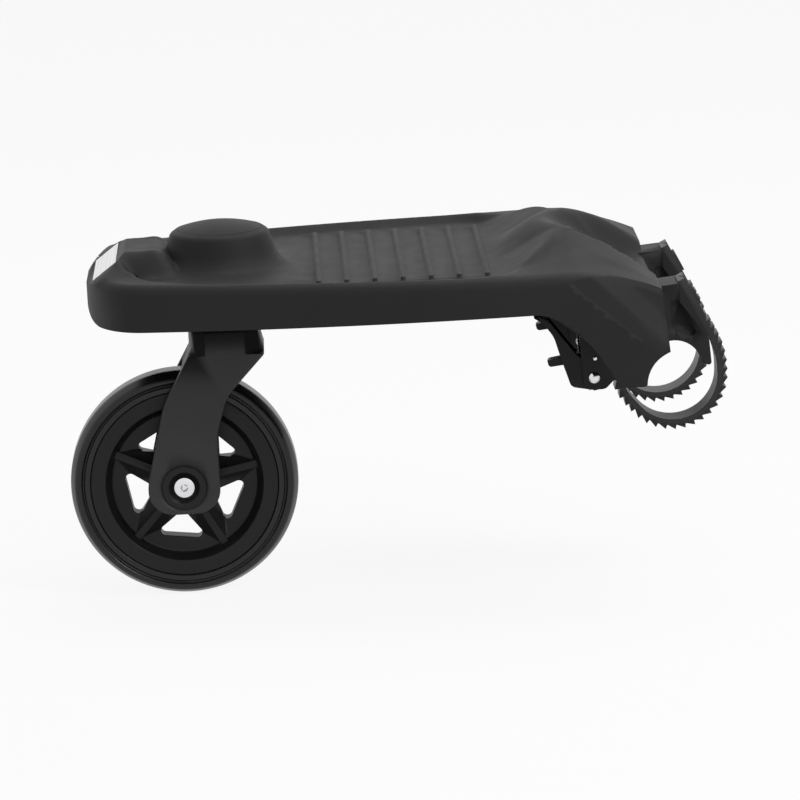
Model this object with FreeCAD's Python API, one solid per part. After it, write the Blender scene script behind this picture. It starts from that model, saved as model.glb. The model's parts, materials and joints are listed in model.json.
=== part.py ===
"""Buggy board: a ride-on board that clamps under the rear axle of a pushchair.

Frame: the origin lies on the axis of the saddle that takes the pushchair's axle, midway
between the two straps. +X points to the pushchair, +Y to the board's left, +Z up.
"""
import FreeCAD, Part
import math
import os

V = FreeCAD.Vector

# Saddle and front
saddle_radius = 19.0
cheek_radius = 23.4
saddle_wall = 2.6
pad_overlap = 0.8
front_foot_x = -6.9
front_foot_z = 21.0
front_lean = 0.076
front_wall = 3.5
lobe_bottom_z = -0.4
lobe_tip_x = -24.3

# Deck outline in plan
deck_length = 402.0
deck_half_width = 135.0
past_side = deck_half_width + 15.0
past_top = 150.0
widest_x = -60.0
side_taper = 0.00045
corner_length = 42.0
corner_power = 2.4
rear_flat = 0.6
side_wall = 3.2
top_wall = 3.6
edge_round = 8.0

# Deck levels
deck_bottom_rear_z = 45.0
deck_bottom_front_z = 52.4
rim_z = 78.0
rim_inset = 7.0
dish_floor_z = 73.5
dish_edge = 9.0
dish_power = 2.2
dish_rear_length = 75.0
dish_front_run = 81.0
spine_z = 90.0
spine_half_width = 38.0
rear_lift = 8.0

# Crest, ridges and valley at the front
crest_x = -69.0
crest_z = 95.0
crest_half_width = 37.0
ramp_length = 56.0
ridge_front_half = 65.0
ridge_front_z = 54.0
shoulder_front_z = 59.0
valley_depth = 12.0
valley_flank = 18.0

# Tread ribs in the dish
rib_count = 7
rib_pitch = 19.1
rib_start = 67.0
rib_half_length = 95.0
rib_width = 3.6
rib_height = 2.2

# Stiffening ribs under the dish
stiffener = 2.5
stiffener_bottom_z = 58.0
stiffener_y = 45.0
stiffener_half_length = 112.0
stiffener_count = 4
stiffener_pitch = 38.0

# Slots beside the ridges
slot_width = 1.8
slot_depth = 2.0
slot_runs = ((-65.0, -48.0), (-39.0, -13.0))

# Swivel and dome
swivel_inset = 94.0
boss_radius = 20.0
boss_bottom_z = 46.0
pocket_floor_z = 84.0
dome_floor = 3.5
dome_foot_radius = 51.0
dome_rim_radius = 34.5
seam_z = 99.6
cap_radius = 29.8
cap_crown = 4.8
cap_wall = 2.5
cap_seat_depth = 3.1
kingpin_radius = 6.0
bush_wall = 3.0
bush_flange = 2.0
bush_flange_radius = 15.0
bush_length = 15.0
running_gap = 0.05
washer_thickness = 2.0
washer_radius = 12.0
nut_height = 7.0
nut_flats = 19.0

# Fork
trail = 33.5
axle_z = -79.0
fork_top_gap = 0.1
crown_radius = 25.5
leg_inner_y = 20.0
leg_outer_y = 28.0
wheel_room = 4.0
kingpin_head_radius = 10.0
kingpin_head_height = 7.0
kingpin_head_top_z = 10.0

# Wheel
wheel_radius = 80.0
tyre_half_width = 17.0
rim_radius = 65.7
rim_half_width = 15.0
barrel_radius = 53.0
web_half = 6.0
hub_radius = 15.0
spoke_count = 5
spoke_angle = 11.5
spoke_rib_width = 5.0
spoke_rib_height = 2.4
window_apex = 20.5
window_corner_radius = 44.5
window_half_angle = 26.0
window_rounding = 3.5

# Axle and bearings
axle_radius = 4.0
bearing_outer_radius = 11.0
bearing_width = 7.0
bearing_inner_radius = 6.3
bearing_gap = 0.3
cup_radius = 15.4
cup_recess = 4.0
cup_proud = 0.6
cup_mouth_radius = 11.8
bolt_head_radius = 7.0
bolt_head_height = 4.0
bolt_head_crown = 1.6
bolt_seat = 1.0
axle_nut_flats = 13.0

# Straps and fingers
strap_y = 64.0
strap_width = 22.0
band = 4.2
tooth_height = 3.2
tooth_pitch = 5.6
tooth_inset = 1.5
anchor_x = 4.25
anchor_z = 59.0
anchor_heading = -63.43
face_run = 44.8
hang_radius = 49.0
hang_run = 3.8
loop_radius = 30.5
loop_turn = 140.0
rise_run = 7.46
entry_radius = 30.0
tail_run = 59.6
slack_teeth = 3
tab_length = 31.0
tab_slope = 3.0
plain_end = 3.0
tooth_face = 0.6
tab_extra = 1.4
screw_station = 15.5
oval_length = 17.0
oval_width = 11.0
oval_height = 1.6
finger_width = 30.0
finger_tip_x = 25.6
finger_tip_z = 0.4
pocket_depth = 3.0
pocket_edge = 5.5
strap_screw_radius = 2.0
strap_screw_head = 4.0

# Buckles
lever_pin_back = 19.3
lever_pin_drop = 2.7
lever_pin_radius = 3.0
rivet_head_radius = 3.7
pawl_pin_back = 18.3
pawl_pin_rise = 10.9
pawl_pin_radius = 1.0
pawl_pin_head = 0.3
pawl_hub_radius = 4.2
pawl_clearance = 0.38
pawl_backlash = 1.2
rivet_head_height = 1.2
base_flange_z = 45.0
back_plate_gap = 0.3
strap_slot_gap = 1.0
base_cheek_inner = 13.0
base_plate = 2.5
base_flange = 3.0
lever_side_outer = 12.5
lever_plate = 3.0
pawl_half_width = 4.0
pawl_slot_gap = 0.7
lever_hub_radius = 8.0
claw_reach = 10.2
claw_count = 9
claw_pitch = 18.0
claw_start = -110.0
buckle_screw_radius = 1.8
buckle_screw_head = 3.4
buckle_screw_head_height = 2.2
buckle_screw_bite = 11.0
buckle_boss_radius = 4.5
buckle_screw_inset = 5.5

# Reflector on the rear bevel
bevel_run = 18.0
bevel_top_z = 86.0
bevel_bottom_z = 72.7
bevel_edge = 4.4
reflector_half_width = 38.0
reflector_thickness = 1.2
reflector_margin = 1.0
reflector_proud = 0.2

rear_face_x = rear_flat - deck_length
bevel_bottom_x = rear_face_x + bevel_edge
bevel_top_x = bevel_bottom_x + bevel_run
swivel_x = swivel_inset - deck_length
dish_rear_start_x = swivel_x - 2.0
dish_front_start_x = crest_x - dish_front_run
rear_rise_x = swivel_x - 24.0
wheel_x = swivel_x - trail
crown_top_z = boss_bottom_z - bush_flange - fork_top_gap
bush_radius = kingpin_radius + running_gap + bush_wall


# Small helpers

def box(x0, x1, y0, y1, z0, z1):
    return Part.makeBox(x1 - x0, y1 - y0, z1 - z0, V(x0, y0, z0))


def rod_y(x, z, radius, y0, y1):
    return Part.makeCylinder(radius, y1 - y0, V(x, y0, z), V(0, 1, 0))


def rod_z(x, y, radius, z0, z1):
    return Part.makeCylinder(radius, z1 - z0, V(x, y, z0), V(0, 0, 1))


def in_xz(u, v):
    return V(u, 0, v)


def in_xy(u, v):
    return V(u, v, 0)


def rounded_wire(corners, place):
    """Closed wire through (u, v, radius) corners, each corner rounded by its radius."""
    count = len(corners)
    spans = []
    for i in range(count):
        before = corners[i - 1]
        here = corners[i]
        after = corners[(i + 1) % count]
        here_v = V(here[0], here[1], 0)
        back = (V(before[0], before[1], 0) - here_v).normalize()
        ahead = (V(after[0], after[1], 0) - here_v).normalize()
        if here[2] <= 0:
            spans.append((here_v, here_v, here_v))
            continue
        half = back.getAngle(ahead) / 2
        reach = here[2] / math.tan(half)
        middle = (back + ahead).normalize() * (here[2] / math.sin(half) - here[2])
        spans.append((here_v + back * reach, here_v + middle, here_v + ahead * reach))
    edges = []
    for i in range(count):
        start, middle, end = [place(p.x, p.y) for p in spans[i]]
        if start.distanceToPoint(end) > 1e-6:
            edges.append(Part.Arc(start, middle, end).toShape())
        following = spans[(i + 1) % count][0]
        following = place(following.x, following.y)
        if end.distanceToPoint(following) > 1e-6:
            edges.append(Part.LineSegment(end, following).toShape())
    return Part.Wire(edges)


def prism_y(corners, y0, y1):
    face = Part.Face(rounded_wire(corners, in_xz))
    face.translate(V(0, y0, 0))
    return face.extrude(V(0, y1 - y0, 0))


def prism_z(corners, z0, z1):
    face = Part.Face(rounded_wire(corners, in_xy))
    face.translate(V(0, 0, z0))
    return face.extrude(V(0, 0, z1 - z0))


def turned_z(corners, x):
    """Solid of revolution about the upright axis at x, from (radius, z, rounding) corners."""
    face = Part.Face(rounded_wire(corners, in_xz))
    solid = face.revolve(V(0, 0, 0), V(0, 0, 1), 360)
    solid.translate(V(x, 0, 0))
    return solid


def turned_y(corners):
    """Solid of revolution about the wheel axle, from (radius, y, rounding) corners."""
    face = Part.Face(rounded_wire(corners, in_xy))
    solid = face.revolve(V(0, 0, 0), V(0, 1, 0), 360)
    solid.translate(V(wheel_x, 0, axle_z))
    return solid


def hex_prism(flats, start, direction, height):
    radius = flats / math.sqrt(3)
    solid = Part.Face(Part.makePolygon([
        V(radius * math.cos(k * math.pi / 3), radius * math.sin(k * math.pi / 3), 0)
        for k in range(7)])).extrude(V(0, 0, height))
    solid.Placement = FreeCAD.Placement(start, FreeCAD.Rotation(V(0, 0, 1), direction))
    return solid


def about(x, z, corners):
    """Corners given from the point x, z."""
    return [(x + u, z + v, rounding) for u, v, rounding in corners]


def save(name, *solids):
    shape = solids[0] if len(solids) == 1 else Part.makeCompound(solids)
    if not shape.isValid():
        print("not valid:", name)
    print(name, len(shape.Solids), "solid,", round(shape.Volume / 1000, 2), "cm3")
    shape.exportStep("parts/" + name + ".step")


# Deck outline and top surface

def ease(t):
    t = min(1.0, max(0.0, t))
    return t * t * (3 - 2 * t)


def side_line(x):
    return deck_half_width - side_taper * (x - widest_x) ** 2


def corner_curve(angle):
    """Shares of the corner's length and of the half-width at an angle round a rear corner."""
    turn = math.radians(angle)
    return math.sin(turn) ** (2 / corner_power), math.cos(turn) ** (2 / corner_power)


def edge_distance(x, y, inset):
    """Distance inwards from the plan outline, itself moved inwards by inset."""
    length = corner_length - inset
    half = side_line(x) - inset
    along = max(0.0, (corner_length - deck_length - x) / length)
    across = abs(y) / half
    fill = (along ** corner_power + across ** corner_power) ** (1 / corner_power)
    if fill < 0.5:
        return deck_half_width
    slope_x = (along / fill) ** (corner_power - 1) / length
    slope_y = (across / fill) ** (corner_power - 1) / half
    return max(0.0, 1 - fill) / math.hypot(slope_x, slope_y)


dish_front_length = (crest_x - dish_front_start_x) / 0.968


def dish_fill(x, y):
    """0 at the middle of the dish, 1 on its rim line."""
    along = max(0.0, (dish_rear_start_x - x) / dish_rear_length)
    along = max(along, (x - dish_front_start_x) / dish_front_length)
    across = abs(y) / (side_line(x) - rim_inset)
    return (along ** dish_power + across ** dish_power) ** (1 / dish_power)


def crest_line(x):
    """Half-width and height of the crest that runs round the dish and along the ridges."""
    if x >= crest_x:
        share = max(0.0, -x) / -crest_x
        half = ridge_front_half - (ridge_front_half - crest_half_width) * share ** 2.6
        height = ridge_front_z + (crest_z - ridge_front_z) * share * (1.57 - 0.57 * share)
        return half, height
    along = max(0.0, (x - dish_front_start_x) / dish_front_length)
    half = (side_line(x) - rim_inset) * (1 - along ** dish_power) ** (1 / dish_power)
    rim_half = side_line(x) - rim_inset
    rise = (rim_half - half) / (rim_half - crest_half_width)
    return half, rim_z + (crest_z - rim_z) * rise


def shoulder_height(x):
    fall = max(0.0, 1 + x / 75.0)
    return rim_z - (rim_z - shoulder_front_z) * fall ** 1.7


def top_height(x, y):
    """Height of the moulded top over the plan point x, y."""
    y = abs(y)
    half, crest = crest_line(x)
    shoulder = shoulder_height(x)
    if x > dish_front_start_x and y > half:
        share = (y - half) / max(1.0, side_line(x) - half)
        return crest + (shoulder - crest) * min(1.0, share)
    if x >= crest_x:
        depth = valley_depth * ease((x - crest_x) / 22.0) * (1 - 0.5 * ease(1 + x / 25.0))
        return crest - depth * ease((half - y) / valley_flank)
    level = rim_z
    if x > dish_front_start_x:
        level = crest
    level += rear_lift * ease((rear_rise_x - 3.0 - x) / 35.0) * ease((72.0 - y) / 42.0)
    floor = dish_floor_z + (crest_z - dish_floor_z) * ease(1 + (x - crest_x) / ramp_length)
    depth = (1 - dish_fill(x, y)) * side_line(x)
    height = level + (floor - level) * ease(depth / dish_edge)
    spine = ease((spine_half_width + 8 - y) / 18.0) * ease((rear_rise_x + 2.0 - x) / 22.0)
    return height + (spine_z - height) * spine


def spaced(spans):
    places = []
    for start, stop, step in spans:
        count = max(1, round(abs((stop - start) / step)))
        places += [start + (stop - start) * k / count for k in range(count)]
    return places + [spans[-1][1]]


def moulded_solid(inset, lowered, coarse):
    """Solid under the moulded top, with round upper edges and upright sides.

    inset moves the outline inwards and lowered moves the top down, so that the same form
    makes the outside of the shell and its hollow.
    """
    corner_x = corner_length - deck_length
    rounding = edge_round - inset
    rows = []
    for angle in spaced([(84.0, 0.0, -8.0 * coarse)])[:-1]:
        along, across = corner_curve(angle)
        x = corner_x - (corner_length - inset) * along
        rows.append((x, (side_line(x) - inset) * across))
    for x in spaced([(corner_x, dish_rear_start_x, 8.0 * coarse),
                     (dish_rear_start_x, dish_front_start_x, 20.0 * coarse),
                     (dish_front_start_x, 6.0, 6.5 * coarse)]):
        rows.append((x, side_line(x) - inset))
    near_edge = [rounding * (1 - math.cos(math.radians(a))) for a in spaced([(0, 90, 18.0 * coarse)])]
    near_edge += spaced([(rounding + 2.5, rounding + 15.0, 2.5 * coarse)])
    shares = [1 - d / deck_half_width for d in near_edge]
    shares += spaced([(shares[-1] - 0.07, 0.0, 0.075 * coarse)])
    shares += [-s for s in reversed(shares[:-1])]
    grid = []
    for x, half in rows:
        line = []
        for share in shares:
            y = share * half
            reach = min(rounding, edge_distance(x, y, inset))
            drop = rounding - math.sqrt(rounding ** 2 - (rounding - reach) ** 2)
            line.append(V(x, y, top_height(x, y) - lowered - drop))
        grid.append(line)
    skin = Part.BSplineSurface()
    skin.interpolate(grid)
    return skin.toShape().extrude(V(0, 0, -170))


# Deck shell

def front_x(z):
    """Front face of the deck at a height: it leans back as it rises."""
    return front_foot_x - front_lean * (z - front_foot_z)


def bevel_frame():
    """Top point of the rear bevel, its slope, its outward direction and its length."""
    slope = V(bevel_bottom_x - bevel_top_x, 0, bevel_bottom_z - bevel_top_z)
    length = slope.Length
    slope.normalize()
    return V(bevel_top_x, 0, bevel_top_z), slope, V(slope.z, 0, -slope.x), length


def above_bevel(depth):
    """Everything above the plane of the rear bevel, moved inwards by depth."""
    start, slope, out, length = bevel_frame()
    a = start - slope * 40 - out * depth
    b = start + slope * 60 - out * depth
    corners = [(a.x, a.z, 0), (b.x, b.z, 0), (b.x, past_top, 0), (a.x, past_top, 0)]
    return prism_y(corners, -past_side, past_side)


def reflector_solid(proud):
    """Strip let into the rear bevel, standing proud of it by the given height."""
    start, slope, out, length = bevel_frame()
    low = out * (reflector_proud - reflector_thickness)
    high = out * proud
    top = start + slope * reflector_margin
    end = start + slope * (length - reflector_margin)
    corners = [top + low, end + low, end + high, top + high]
    return prism_y([(p.x, p.z, 0) for p in corners], -reflector_half_width, reflector_half_width)


def deck_hollow():
    """Space inside the shell, open below and closed by the saddle and the front wall."""
    outer = cheek_radius + saddle_wall
    front = [(front_x(z) - front_wall, z, 0) for z in (-past_top, past_top)]
    front += [(past_side, past_top, 0), (past_side, -past_top, 0)]
    filled = [
        rod_y(0, 0, outer, -past_side, past_side),
        prism_y(front, -past_side, past_side),
        box(-outer, 0, -past_side, past_side, -past_top, 0),
        box(rear_face_x - past_side, rear_face_x + side_wall, -past_side, past_side, -past_top, past_top),
        above_bevel(top_wall)]
    filled += [cheek_facet(side, side_wall) for side in (-1, 1)]
    filled += stiffeners()
    return moulded_solid(side_wall, top_wall, 1.7).cut(filled)


def stiffeners():
    """Crossed ribs under the dish, each standing from the stiffener level up into the roof."""
    half = stiffener / 2
    low = dish_front_start_x + 50.0 - stiffener_pitch * stiffener_count
    ribs = [box(low, dish_front_start_x + 50.0, y - half, y + half, stiffener_bottom_z, past_top)
            for y in (-stiffener_y, stiffener_y)]
    for k in range(stiffener_count):
        x = low + stiffener_pitch * (k + 0.5)
        ribs.append(box(x - half, x + half, -stiffener_half_length, stiffener_half_length,
                        stiffener_bottom_z, past_top))
    return ribs


def cheek_facet(side, depth):
    """Everything outside the plane that leans in from the crease on a cheek, moved inwards by depth."""
    crease = deck_half_width - 0.6 - depth
    reach = past_side
    along = V(0.75, 0, -0.66)
    corners = [V(0, crease, 0), V(reach, crease - 0.25 * reach, 0), V(reach, past_side, 0),
               V(0, past_side, 0)]
    face = Part.Face(Part.makePolygon(corners + [corners[0]]))
    solid = face.extrude(V(0, 0, 2 * reach))
    solid.Placement = FreeCAD.Placement(
        V(-36, 0, 40) + along * reach, FreeCAD.Rotation(V(0.66, 0, 0.75), V(0, 1, 0), along * -1, "XYZ"))
    return solid if side > 0 else solid.mirror(V(0, 0, 0), V(0, 1, 0))


def ridge_slot(first, last, side):
    """Narrow slot let into the top beside a ridge, the same depth all along."""
    stations = spaced([(first, last, 5.0)])
    inner = [(x, side * (crest_line(x)[0] + 0.2), 0) for x in stations]
    outer = [(x, side * (crest_line(x)[0] + 0.2 + slot_width), 0) for x in reversed(stations)]
    return prism_z(inner + outer, 0, past_top)


def dome_hollow():
    """Ring-shaped space round the swivel boss, under the floor of the dome's pocket."""
    roof = pocket_floor_z - dome_floor
    return turned_z([
        (boss_radius, 30, 0), (38, 30, 0), (38, roof - 2, 3), (33, roof, 2), (boss_radius, roof, 0)],
        swivel_x)


def tread_rib(x):
    half = rib_width / 2
    round_end = half - 0.01
    return prism_z([
        (x - half, -rib_half_length, round_end), (x + half, -rib_half_length, round_end),
        (x + half, rib_half_length, round_end), (x - half, rib_half_length, round_end)],
        dish_floor_z - 1.5, dish_floor_z + rib_height)


def make_deck():
    side_profile = [
        (rear_face_x, past_top, 0), (rear_face_x, deck_bottom_rear_z, 10),
        (-88, deck_bottom_front_z, 28), (-60, 30.5, 60), (-41.5, lobe_bottom_z, 5),
        (lobe_tip_x, lobe_bottom_z, 2.5), (-18, 8, 0), (front_x(10), 10, 0), (front_x(past_top), past_top, 0)]
    sides = prism_y(side_profile, -past_side, past_side)
    sides = sides.cut([above_bevel(0), reflector_solid(6.0)])
    sides = sides.cut([cheek_facet(side, 0) for side in (-1, 1)])
    sides = sides.cut(rod_y(0, 0, cheek_radius, -past_side, past_side))
    body = moulded_solid(0, 0, 1.0).common(sides)
    for side in (-1, 1):
        body = body.fuse(finger(side * strap_y))
    body = body.cut(rod_y(0, 0, saddle_radius, -past_side, past_side))
    slots = [ridge_slot(first, last, side) for first, last in slot_runs for side in (-1, 1)]
    below_slots = moulded_solid(0, slot_depth, 1.0)
    for slot in slots:
        body = body.cut(slot.cut(below_slots))
    body = body.cut(deck_hollow()).cut(dome_hollow())

    dome = turned_z([
        (0, 60, 0), (dome_foot_radius, 60, 0), (dome_foot_radius, dish_floor_z - 1.4, 0),
        (40.5, 76.8, 18), (dome_rim_radius, seam_z - 3, 5), (cap_radius + 0.2, seam_z, 0), (0, seam_z, 0)],
        swivel_x)
    dome = dome.cut([dome_hollow(), moulded_solid(side_wall, top_wall, 1.7)])
    added = [dome, rod_z(swivel_x, 0, boss_radius, boss_bottom_z, pocket_floor_z)]
    added += [tread_rib(swivel_x + rib_start + k * rib_pitch) for k in range(rib_count)]
    removed = [
        rod_z(swivel_x, 0, bush_radius, boss_bottom_z - 1, pocket_floor_z + 1),
        rod_z(swivel_x, 0, cap_radius - 2.8, pocket_floor_z, 120),
        rod_z(swivel_x, 0, cap_radius + 0.2, seam_z - cap_seat_depth, 120)]
    for side in (-1, 1):
        y = side * strap_y
        removed.append(strap_screw_solid(side, 0))
        for x in buckle_screws_x:
            added.append(rod_z(x, y, buckle_boss_radius, pad_z, top_height(x, y) - top_wall + 1.5))
            removed.append(rod_z(x, y, buckle_screw_radius, pad_z, pad_z + buckle_screw_bite + 1.0))
    for piece in added:
        body = body.fuse(piece)
    for piece in removed:
        body = body.cut(piece)
    return body


def finger(y):
    """Hooked finger that stands out of the front wall, and the pad behind it that lines the saddle."""
    top = strap_point(0.6)
    low = strap_point(face_run)
    sides = (y - finger_width / 2, y + finger_width / 2)
    root = front_wall - 0.6
    hook = prism_y([
        (front_x(top.z) - root, top.z - 1.5, 0), (top.x, top.z, 1), (low.x, low.z, 8),
        (finger_tip_x, finger_tip_z, 2), (saddle_radius + 0.9, finger_tip_z + 1.1, 1),
        (saddle_radius - 2, 6.8, 0), (front_x(12) - root, 12, 0)], *sides)
    edge = saddle_radius + pocket_edge
    pocket = [strap_point(9, -pocket_edge), strap_point(face_run - 9, -pocket_edge),
              V(edge * math.cos(1.0), 0, edge * math.sin(1.0)), V(front_x(27) + 6, 0, 28),
              V(front_x(44) + 7, 0, 45)]
    corners = [(p.x, p.z, rounding) for p, rounding in zip(pocket, (3, 2, 2.5, 5, 3))]
    hook = hook.cut([prism_y(corners, sides[0] - 1, sides[0] + pocket_depth),
                     prism_y(corners, sides[1] - pocket_depth, sides[1] + 1)])
    pad = rod_y(0, 0, cheek_radius + pad_overlap, *sides)
    pad = pad.common(box(-past_side, front_foot_x, *sides, finger_tip_z + 1.1, past_top))
    return [hook, pad]


# Strap route: the inner surface runs down the finger, round the axle and up through the buckle

strap_slack = {-1: 0.0, 1: slack_teeth * tooth_pitch / 2}


def strap_route(slack):
    """Stretches of the inner surface: start, heading in degrees, length, radius (0 is straight).

    slack is how much lower the loop hangs, which draws twice as much out of the buckle.
    """
    plan = [(face_run, 0), (0, hang_radius), (hang_run + slack, 0), (0, loop_radius), (rise_run, 0),
            (0, entry_radius), (tail_run - slack, 0)]
    turns = [0, 90 + anchor_heading, 0, loop_turn, 0, 180 - loop_turn, 0]
    point = V(anchor_x, 0, anchor_z)
    heading = anchor_heading
    stretches = []
    for (run, radius), turn in zip(plan, turns):
        length = run if radius == 0 else radius * math.radians(turn)
        stretches.append((point, heading, length, radius))
        point = route_step(point, heading, length, radius, 0)
        heading -= turn
    return stretches


def route_step(point, heading, along, radius, offset):
    """Point at a distance along one stretch, moved out from the inner surface by offset."""
    angle = math.radians(heading)
    out = V(-math.sin(angle), 0, math.cos(angle))
    if radius == 0:
        return point + V(math.cos(angle), 0, math.sin(angle)) * along + out * offset
    centre = point - out * radius
    turned = angle - along / radius
    return centre + V(-math.sin(turned), 0, math.cos(turned)) * (radius + offset)


def strap_point(station, offset=0.0, slack=0.0):
    for point, heading, length, radius in strap_route(slack):
        if station <= length:
            return route_step(point, heading, station, radius, offset)
        station -= length
    point, heading, length, radius = strap_route(slack)[-1]
    return route_step(point, heading, length + station, radius, offset)


def strap_length():
    return sum(stretch[2] for stretch in strap_route(0))


def tooth_start(k):
    """Station at the root of tooth k."""
    return tab_length + tab_slope + k * tooth_pitch


def tooth_count():
    return int((strap_length() - tooth_start(0) - plain_end) / tooth_pitch)


def route_edges(offset, slack):
    edges = []
    for point, heading, length, radius in strap_route(slack):
        start = route_step(point, heading, 0, radius, offset)
        middle = route_step(point, heading, length / 2, radius, offset)
        end = route_step(point, heading, length, radius, offset)
        if radius == 0:
            edges.append(Part.LineSegment(start, end).toShape())
        else:
            edges.append(Part.Arc(start, middle, end).toShape())
    return edges


def strap_frame():
    """Heading and outward direction of the strap on its straight face run."""
    angle = math.radians(anchor_heading)
    return V(math.cos(angle), 0, math.sin(angle)), V(-math.sin(angle), 0, math.cos(angle))


def make_strap(side):
    y = side * strap_y
    slack = strap_slack[side]
    total = strap_length()
    inner = route_edges(0, slack)
    outer = route_edges(band, slack)
    ends = [Part.LineSegment(strap_point(s, 0, slack), strap_point(s, band, slack)).toShape()
            for s in (0, total)]
    face = Part.Face(Part.Wire(Part.__sortEdges__(inner + outer + ends)))
    face.translate(V(0, y - strap_width / 2, 0))
    body = face.extrude(V(0, strap_width, 0))

    ridge = [strap_point(tooth_start(0), band - 1.0, slack), strap_point(tooth_start(0), band, slack)]
    for k in range(tooth_count()):
        ridge.append(strap_point(tooth_start(k) + tooth_face, band + tooth_height, slack))
        ridge.append(strap_point(tooth_start(k + 1), band, slack))
    ridge += [strap_point(tooth_start(k), band - 1.0, slack) for k in range(tooth_count(), 0, -1)]
    teeth = Part.Face(Part.makePolygon(ridge + [ridge[0]]))
    teeth.translate(V(0, y - strap_width / 2 + tooth_inset, 0))
    body = body.fuse(teeth.extrude(V(0, strap_width - 2 * tooth_inset, 0)))

    corners = [strap_point(0, band - 0.5), strap_point(0, band + tab_extra),
               strap_point(tab_length, band + tab_extra), strap_point(tab_length + tab_slope, band - 0.5)]
    body = body.fuse(prism_y([(p.x, p.z, 0) for p in corners], y - strap_width / 2, y + strap_width / 2))
    along, out = strap_frame()
    long_half = oval_length / 2
    half = oval_width / 2
    rounding = half - 0.01
    oval = prism_z([(-long_half, -half, rounding), (long_half, -half, rounding),
                    (long_half, half, rounding), (-long_half, half, rounding)], 0, tab_extra + oval_height)
    oval.Placement = FreeCAD.Placement(
        strap_point(screw_station, band) + V(0, y, 0), FreeCAD.Rotation(along, V(0, 1, 0), out, "ZXY"))
    body = body.fuse(oval)
    body = body.cut(strap_screw_solid(side, running_gap))
    return body.removeSplitter()


def strap_screw_solid(side, room):
    """Screw that goes through the strap's oval boss into the finger."""
    along, out = strap_frame()
    head_base = strap_point(screw_station, band + tab_extra - 1.0) + V(0, side * strap_y, 0)
    head = Part.makeCylinder(strap_screw_head + room, 1.8, head_base, out)
    shank = Part.makeCylinder(strap_screw_radius + room, 16.0, head_base, out * -1)
    return head.fuse(shank)


# Ratchet buckle, placed by the strap's upright tail

tail_end = strap_point(strap_length())
tail_start = strap_point(strap_length() - tail_run)
pad_z = base_flange_z + base_flange
lever_pin_x = tail_end.x - lever_pin_back
lever_pin_z = tail_start.z - lever_pin_drop
pawl_pin_x = tail_end.x - pawl_pin_back
pawl_pin_z = tail_start.z + pawl_pin_rise
back_plate_x = tail_end.x + back_plate_gap
base_front_x = back_plate_x + base_plate
base_rear_x = lever_pin_x - 10.5
flange_front_x = tail_end.x - band - tooth_height - strap_slot_gap
buckle_screws_x = (flange_front_x - buckle_screw_inset, base_rear_x + buckle_screw_inset)


def make_buckle_base(side):
    y = side * strap_y
    inner = base_cheek_inner
    outer = base_cheek_inner + base_plate
    plate_low_z = tail_start.z + 3.5
    profile = [(base_front_x, pad_z, 0), (base_front_x, plate_low_z, 5)]
    profile += about(lever_pin_x, lever_pin_z, [(7.5, -8.4, 6), (-7.0, -8.4, 6), (-8.3, 11.4, 6)])
    profile.append((base_rear_x, pad_z, 0))
    cheeks = [prism_y(profile, y - outer, y - inner), prism_y(profile, y + inner, y + outer)]
    back = box(back_plate_x, base_front_x, y - outer, y + outer, plate_low_z, pad_z)
    flange = box(base_rear_x, flange_front_x, y - outer, y + outer, base_flange_z, pad_z)
    body = cheeks[0].fuse([cheeks[1], back, flange])
    body = body.cut(rod_y(lever_pin_x, lever_pin_z, lever_pin_radius, y - outer, y + outer))
    body = body.cut(rod_y(pawl_pin_x, pawl_pin_z, pawl_pin_radius, y - outer, y + outer))
    for x in buckle_screws_x:
        body = body.cut(rod_z(x, y, buckle_screw_radius, base_flange_z, pad_z))
    return body.removeSplitter()


def claw_point(radius, k):
    angle = math.radians(claw_start + claw_pitch * k)
    return V(lever_pin_x + radius * math.cos(angle), 0, lever_pin_z + radius * math.sin(angle))


def make_lever(side):
    y = side * strap_y
    outer = lever_side_outer
    inner = lever_side_outer - lever_plate
    curve = [(-15.8, -6.4, 5), (-22.0, 13.2, 40), (-26.5, 29.0, 20), (-33.0, 38.5, 6), (-40.0, 43.0, 1),
             (-38.5, 45.0, 1)]
    side_shape = [(2.6, -9.9, 2)] + curve + [
        (-29.0, 39.5, 6), (-20.5, 28.0, 20), (-11.5, 16.0, 15), (-2.5, 8.9, 4), (5.5, 4.4, 4)]
    back_shape = [(-2.0, -9.0, 1)] + curve + [
        (-30.5, 40.5, 6), (-23.4, 30.5, 20), (-18.9, 13.8, 40), (-13.2, -3.6, 4), (-1.2, -6.2, 1)]
    back = prism_y(about(lever_pin_x, lever_pin_z, back_shape), y - outer, y + outer)
    slot = pawl_half_width + pawl_slot_gap
    back = back.cut(box(lever_pin_x - 35, lever_pin_x - 2.5, y - slot, y + slot,
                        pawl_pin_z - 14.5, pawl_pin_z + 20.5))
    root = lever_hub_radius - 0.8
    ring = [V(lever_pin_x, 0, lever_pin_z)]
    for k in range(claw_count):
        ring.append(claw_point(claw_reach, k))
        ring.append(claw_point(root, k + 1))
    sector = Part.Face(Part.makePolygon(ring + [ring[0]]))
    added = []
    for low in (y - outer, y + inner):
        wedge = sector.copy()
        wedge.translate(V(0, low, 0))
        added.append(wedge.extrude(V(0, lever_plate, 0)))
        added.append(rod_y(lever_pin_x, lever_pin_z, lever_hub_radius, low, low + lever_plate))
        added.append(prism_y(about(lever_pin_x, lever_pin_z, side_shape), low, low + lever_plate))
    body = back.fuse(added)
    body = body.cut(rod_y(lever_pin_x, lever_pin_z, lever_pin_radius + running_gap, y - outer, y + outer))
    return body.removeSplitter()


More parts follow.
